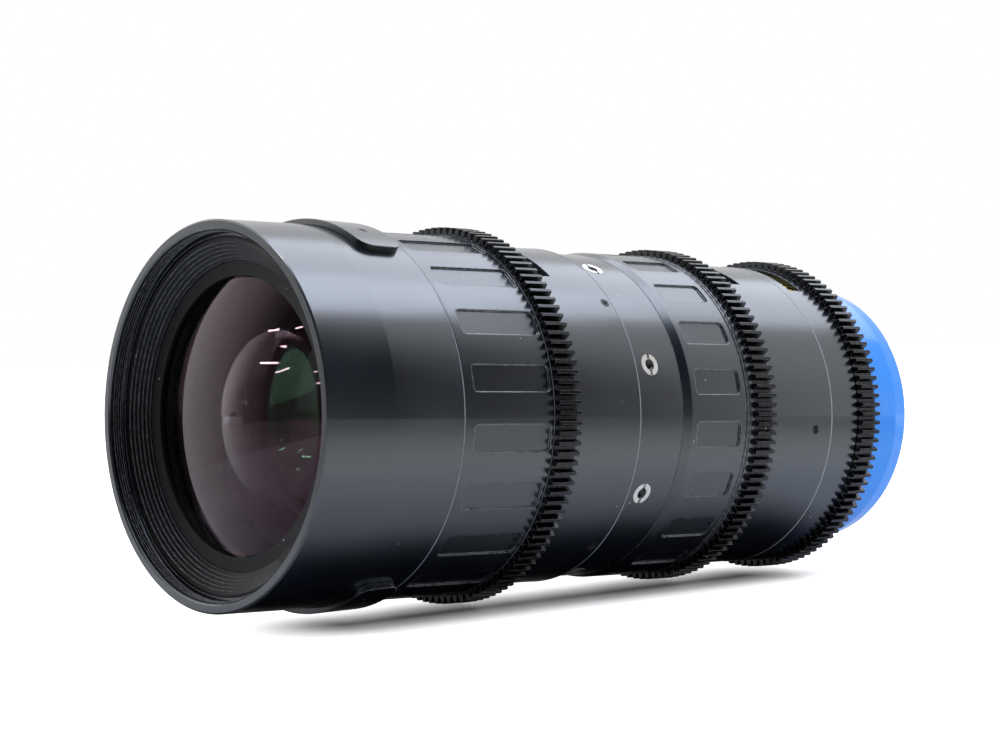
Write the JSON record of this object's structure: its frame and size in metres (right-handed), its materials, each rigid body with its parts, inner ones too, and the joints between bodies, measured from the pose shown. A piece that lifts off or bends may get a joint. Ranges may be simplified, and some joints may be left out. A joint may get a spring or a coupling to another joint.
{
  "type": "cinema zoom lens",
  "caption": "Cylindrical cinema zoom lens with focus, zoom and iris gear rings, sliding lens groups, a closing iris and a push-on rear cap.",
  "frame": {"origin": "centre of the camera mount's seat, where the camera's mount face rests", "axes": "+Y along the optical axis towards the camera, -Y out of the front glass, +Z towards the middle of the scale windows"},
  "size_m": [0.0976, 0.2155, 0.0978],
  "materials": {
    "black_barrel": "satin black anodised",
    "black_ring": "satin black anodised",
    "black_gear": "satin black anodised, cut teeth",
    "inner_black": "matt black",
    "glass": "coated, polished",
    "black_screws": "blackened steel",
    "brass": "machined",
    "scale_rings": "matt black with light marks",
    "bare_aluminium": "fine turned",
    "steel": "fine turned",
    "blades": "matt black spring steel",
    "blue_cap": "glossy blue"
  },
  "bodies": {
    "barrel": {"front_barrel": "black_barrel", "front_baffle_ring": "inner_black", "front_tube": "inner_black", "front_element": "glass", "front_retaining_ring": "inner_black", "key_covers": "black_ring", "key_cover_screws": "black_screws", "focus_keys": "brass", "middle_barrel": "black_barrel", "middle_barrel_screws": "black_screws", "accessory_ring": "black_barrel", "accessory_inserts": "steel", "zoom_tube": "inner_black", "guide_tube": "bare_aluminium", "rear_barrel_front": "black_barrel", "rear_barrel_screws": "black_screws", "rear_barrel_rear": "black_barrel", "iris_housing": "inner_black", "relay_front_cell": "inner_black", "relay_front_lens": "glass", "relay_rear_cell": "inner_black", "relay_rear_lens": "glass", "mount_adapter": "black_barrel", "mount_shim": "brass", "lens_mount": "steel", "mount_screws": "steel"},
    "focus_group": {"focus_ring": "black_ring", "focus_gear": "black_gear", "focus_scale_ring": "scale_rings"},
    "focus_slider": {"focus_nut": "brass", "focus_link_pins": "steel", "focus_cell": "inner_black", "focus_lens_front": "glass", "focus_lens_rear": "glass"},
    "zoom_group": {"zoom_ring": "black_ring", "zoom_gear": "black_gear", "zoom_scale_ring": "scale_rings", "cam_drum": "bare_aluminium", "zoom_drive_pins": "steel"},
    "variator": {"variator_cell": "inner_black", "variator_lens": "glass", "variator_followers": "steel"},
    "compensator": {"compensator_cell": "inner_black", "compensator_lens": "glass", "compensator_followers": "steel"},
    "iris_group": {"iris_ring": "black_gear", "iris_scale_ring": "scale_rings", "iris_drive_ring": "bare_aluminium", "iris_drive_pins": "steel"},
    "blade_1": {"iris_blade_1": "blades"},
    "blade_2": {"iris_blade_2": "blades"},
    "blade_3": {"iris_blade_3": "blades"},
    "blade_4": {"iris_blade_4": "blades"},
    "blade_5": {"iris_blade_5": "blades"},
    "blade_6": {"iris_blade_6": "blades"},
    "blade_7": {"iris_blade_7": "blades"},
    "blade_8": {"iris_blade_8": "blades"},
    "blade_9": {"iris_blade_9": "blades"},
    "cap": {"rear_cap": "blue_cap"}
  },
  "joints": [
    {"name": "focus_turn", "type": "hinge", "parent": "barrel", "child": "focus_group", "pos_m": [0, 0, 0], "axis": [0, 1, 0], "range_deg": [0, 270]},
    {"name": "focus_travel", "type": "slide", "parent": "barrel", "child": "focus_slider", "axis": [0, 1, 0], "range_m": [-0.008, 0]},
    {"name": "zoom_turn", "type": "hinge", "parent": "barrel", "child": "zoom_group", "pos_m": [0, 0, 0], "axis": [0, 1, 0], "range_deg": [0, 120]},
    {"name": "variator_travel", "type": "slide", "parent": "barrel", "child": "variator", "axis": [0, 1, 0], "range_m": [0, 0.024]},
    {"name": "compensator_travel", "type": "slide", "parent": "barrel", "child": "compensator", "axis": [0, 1, 0], "range_m": [-0.01, 0]},
    {"name": "iris_turn", "type": "hinge", "parent": "barrel", "child": "iris_group", "pos_m": [0, 0, 0], "axis": [0, 1, 0], "range_deg": [0, 60]},
    {"name": "blade_1_swing", "type": "hinge", "parent": "barrel", "child": "blade_1", "pos_m": [0.00958, -0.0126, 0.02631], "axis": [0, 1, 0], "range_deg": [0, 30]},
    {"name": "blade_2_swing", "type": "hinge", "parent": "barrel", "child": "blade_2", "pos_m": [0.02425, -0.0123, 0.014], "axis": [0, 1, 0], "range_deg": [0, 30]},
    {"name": "blade_3_swing", "type": "hinge", "parent": "barrel", "child": "blade_3", "pos_m": [0.02757, -0.012, -0.00486], "axis": [0, 1, 0], "range_deg": [0, 30]},
    {"name": "blade_4_swing", "type": "hinge", "parent": "barrel", "child": "blade_4", "pos_m": [0.018, -0.0117, -0.02145], "axis": [0, 1, 0], "range_deg": [0, 30]},
    {"name": "blade_5_swing", "type": "hinge", "parent": "barrel", "child": "blade_5", "pos_m": [0, -0.0114, -0.028], "axis": [0, 1, 0], "range_deg": [0, 30]},
    {"name": "blade_6_swing", "type": "hinge", "parent": "barrel", "child": "blade_6", "pos_m": [-0.018, -0.0111, -0.02145], "axis": [0, 1, 0], "range_deg": [0, 30]},
    {"name": "blade_7_swing", "type": "hinge", "parent": "barrel", "child": "blade_7", "pos_m": [-0.02757, -0.0108, -0.00486], "axis": [0, 1, 0], "range_deg": [0, 30]},
    {"name": "blade_8_swing", "type": "hinge", "parent": "barrel", "child": "blade_8", "pos_m": [-0.02425, -0.0105, 0.014], "axis": [0, 1, 0], "range_deg": [0, 30]},
    {"name": "blade_9_swing", "type": "hinge", "parent": "barrel", "child": "blade_9", "pos_m": [-0.00958, -0.0102, 0.02631], "axis": [0, 1, 0], "range_deg": [0, 30]},
    {"name": "cap_off", "type": "slide", "parent": "barrel", "child": "cap", "axis": [0, 1, 0], "range_m": [0, 0.08]}
  ],
  "couplings": [
    {"joint": "focus_travel", "follows": "focus_turn", "m_per_rad": -0.0016976},
    {"joint": "variator_travel", "follows": "zoom_turn", "m_per_rad": 0.011459},
    {"joint": "compensator_travel", "follows": "zoom_turn", "m_per_rad": -0.0047746},
    {"joint": "blade_1_swing", "follows": "iris_turn", "ratio": 0.5},
    {"joint": "blade_2_swing", "follows": "iris_turn", "ratio": 0.5},
    {"joint": "blade_3_swing", "follows": "iris_turn", "ratio": 0.5},
    {"joint": "blade_4_swing", "follows": "iris_turn", "ratio": 0.5},
    {"joint": "blade_5_swing", "follows": "iris_turn", "ratio": 0.5},
    {"joint": "blade_6_swing", "follows": "iris_turn", "ratio": 0.5},
    {"joint": "blade_7_swing", "follows": "iris_turn", "ratio": 0.5},
    {"joint": "blade_8_swing", "follows": "iris_turn", "ratio": 0.5},
    {"joint": "blade_9_swing", "follows": "iris_turn", "ratio": 0.5}
  ]
}
